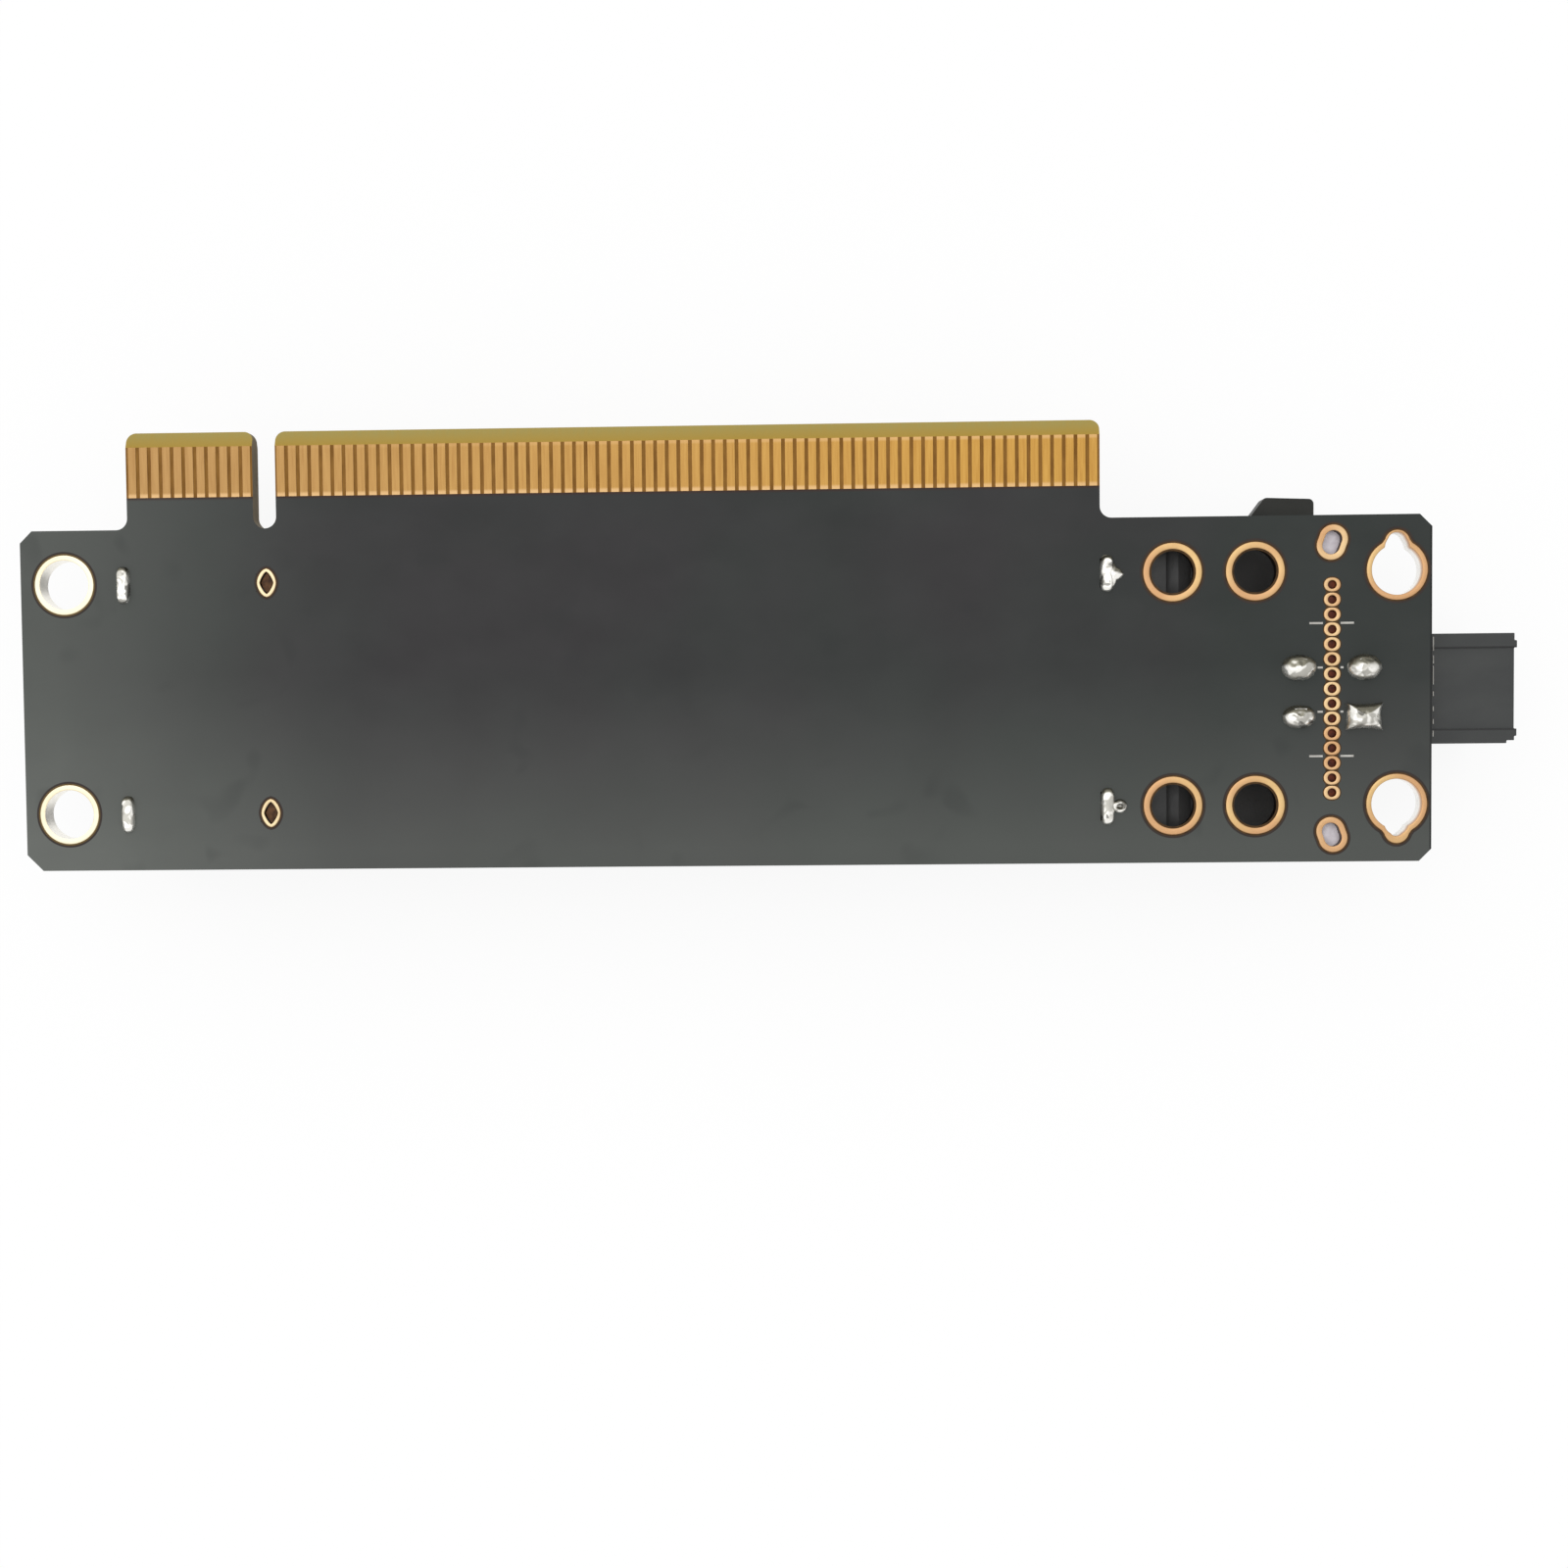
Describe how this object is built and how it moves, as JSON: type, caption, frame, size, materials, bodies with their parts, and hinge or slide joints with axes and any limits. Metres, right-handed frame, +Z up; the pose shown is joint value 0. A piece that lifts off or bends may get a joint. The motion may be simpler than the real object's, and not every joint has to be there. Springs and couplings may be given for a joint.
{
  "type": "pcie bifurcation riser card",
  "caption": "Riser card that splits one long edge connector into two card slots with swinging latches, with a right-angle power header and plated screw holes.",
  "frame": {"origin": "middle of the card's bounding box on the plane of the slots' mouths, on which it rests", "axes": "+X along the edge connector from the key notch's end towards the power header, +Y towards the edge contacts, +Z up out of the solder side"},
  "size_m": [0.1296, 0.038, 0.0139],
  "materials": {
    "board": "matte",
    "gold": "plated",
    "slot_plastic": "moulded",
    "spring_metal": "plated",
    "latch_plastic": "moulded",
    "header_plastic": "moulded",
    "tin": "tin plated",
    "solder": "reflowed",
    "chip_plastic": "moulded",
    "ceramic": "fired",
    "capacitor_plastic": "moulded"
  },
  "bodies": {
    "card": {"circuit_board": "board", "edge_contacts_solder_side": "gold", "edge_contacts_component_side": "gold", "screw_hole_linings": "gold", "pin_hole_linings": "gold", "upper_slot_housing": "slot_plastic", "upper_slot_springs_tongue_side": "spring_metal", "upper_slot_springs_far_side": "spring_metal", "upper_slot_hold_downs": "tin", "lower_slot_housing": "slot_plastic", "lower_slot_springs_tongue_side": "spring_metal", "lower_slot_springs_far_side": "spring_metal", "lower_slot_hold_downs": "tin", "power_header_housing": "header_plastic", "power_pins_near_row": "tin", "power_pins_far_row": "tin", "power_pin_solder": "solder", "hold_down_solder": "solder", "clock_chip": "chip_plastic", "chip_capacitors": "ceramic", "chip_resistors": "chip_plastic", "bulk_capacitors": "capacitor_plastic", "bulk_capacitor_terminals": "tin"},
    "upper_latch": {"upper_slot_latch": "latch_plastic"},
    "lower_latch": {"lower_slot_latch": "latch_plastic"}
  },
  "joints": [
    {"name": "upper_latch_swing", "type": "hinge", "parent": "card", "child": "upper_latch", "pos_m": [0.03594, 0.0059, 0.00885], "axis": [0, -1, 0], "range_deg": [0, 16]},
    {"name": "lower_latch_swing", "type": "hinge", "parent": "card", "child": "lower_latch", "pos_m": [0.03594, -0.01409, 0.00885], "axis": [0, -1, 0], "range_deg": [0, 16]}
  ]
}
